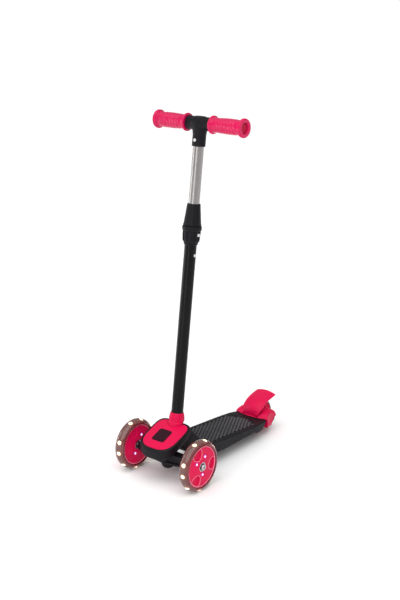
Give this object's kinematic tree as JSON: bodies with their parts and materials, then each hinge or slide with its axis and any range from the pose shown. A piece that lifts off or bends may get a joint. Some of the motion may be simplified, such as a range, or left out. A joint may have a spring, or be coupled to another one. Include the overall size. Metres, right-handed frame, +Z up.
{
  "type": "kick scooter",
  "caption": "Child's lean-to-steer kick scooter with light-up front wheels, a height-adjustable T-handlebar, a textured deck and a rear brake fender.",
  "frame": {"origin": "on the ground, in the middle of the scooter's length and width", "axes": "+Z up; -Y the way the scooter heads; +X its left-hand side as a rider sees it turned about, that is the viewer's right when the scooter faces the viewer"},
  "size_m": [0.2436, 0.465, 0.8211],
  "materials": {
    "pink": "glossy hot pink",
    "pink_rubber": "satin, ribbed",
    "black": "matte, finely grained",
    "black_paint": "satin black",
    "badge": "glossy dark inlay",
    "aluminium": "satin anodised",
    "steel": "zinc plated",
    "clear": "smoky translucent",
    "core": "tinted, with small lights",
    "white": "satin white",
    "urethane": "natural"
  },
  "bodies": {
    "chassis": {"deck_body": "black", "front_cover": "pink", "cover_badge": "badge", "stem_socket": "pink", "lower_tube": "black_paint", "stem_insert": "steel", "stem_bolt": "steel", "stem_bolt_head": "steel", "stop_rivet": "white", "clamp_barrel": "black", "clamp_collet": "white", "rear_cover": "pink", "kingpin": "steel", "kingpin_head": "steel", "kingpin_nut": "steel", "steer_bushing_upper": "urethane", "steer_bushing_lower": "urethane", "fender_pin_left": "steel", "fender_pin_right": "steel", "rear_axle": "steel", "rear_spacer": "steel"},
    "clamp_nut": {"clamp_nut": "black"},
    "mast": {"upper_tube": "aluminium", "handle_tee": "black", "handlebar": "steel", "grip_left": "pink_rubber", "grip_right": "pink_rubber", "bar_plug_left": "black", "bar_plug_right": "black", "tee_spring": "steel"},
    "height_button": {"height_button": "white"},
    "tee_button": {"tee_button": "white"},
    "truck": {"truck_beam": "black", "axle_bolt_left": "steel", "axle_bolt_right": "steel", "magnet_sleeve_left": "steel", "magnet_sleeve_right": "steel"},
    "wheel_left": {"tyre_left": "clear", "light_ring_left": "core", "hub_left": "pink", "bearing_left_inner": "steel", "bearing_left_outer": "steel"},
    "wheel_right": {"tyre_right": "clear", "light_ring_right": "core", "hub_right": "pink", "bearing_right_inner": "steel", "bearing_right_outer": "steel"},
    "rear_wheel": {"rear_tyre": "black", "rear_hub": "pink", "rear_bearing_left": "steel", "rear_bearing_right": "steel"},
    "brake": {"brake_fender": "pink"}
  },
  "joints": [
    {"name": "mast_slide", "type": "slide", "parent": "chassis", "child": "mast", "axis": [0, 0.1295, 0.9916], "range_m": [-0.12, 0]},
    {"name": "clamp_twist", "type": "hinge", "parent": "chassis", "child": "clamp_nut", "pos_m": [0, -0.07175, 0.60216], "axis": [0, 0.1295, 0.9916], "range_deg": [0, 120]},
    {"name": "height_button_press", "type": "slide", "parent": "chassis", "child": "height_button", "axis": [-1, 0, 0], "range_m": [0, 0.003], "stiffness_N_per_m": 400},
    {"name": "tee_button_press", "type": "slide", "parent": "mast", "child": "tee_button", "axis": [0, 0.9916, -0.1295], "range_m": [0, 0.0024], "stiffness_N_per_m": 400},
    {"name": "steer", "type": "hinge", "parent": "chassis", "child": "truck", "pos_m": [0, -0.1725, 0.06], "axis": [0, -0.353, 0.9356], "range_deg": [-12, 12], "stiffness_Nm_per_rad": 40},
    {"name": "wheel_left_spin", "type": "hinge", "parent": "truck", "child": "wheel_left", "pos_m": [-0.0956, -0.1725, 0.06], "axis": [1, 0, 0], "continuous": true},
    {"name": "wheel_right_spin", "type": "hinge", "parent": "truck", "child": "wheel_right", "pos_m": [0.0956, -0.1725, 0.06], "axis": [1, 0, 0], "continuous": true},
    {"name": "rear_wheel_spin", "type": "hinge", "parent": "chassis", "child": "rear_wheel", "pos_m": [0, 0.1945, 0.038], "axis": [1, 0, 0], "continuous": true},
    {"name": "brake_press", "type": "hinge", "parent": "chassis", "child": "brake", "pos_m": [0, 0.1615, 0.048], "axis": [-1, 0, 0], "range_deg": [0, 10], "stiffness_Nm_per_rad": 1.5}
  ]
}
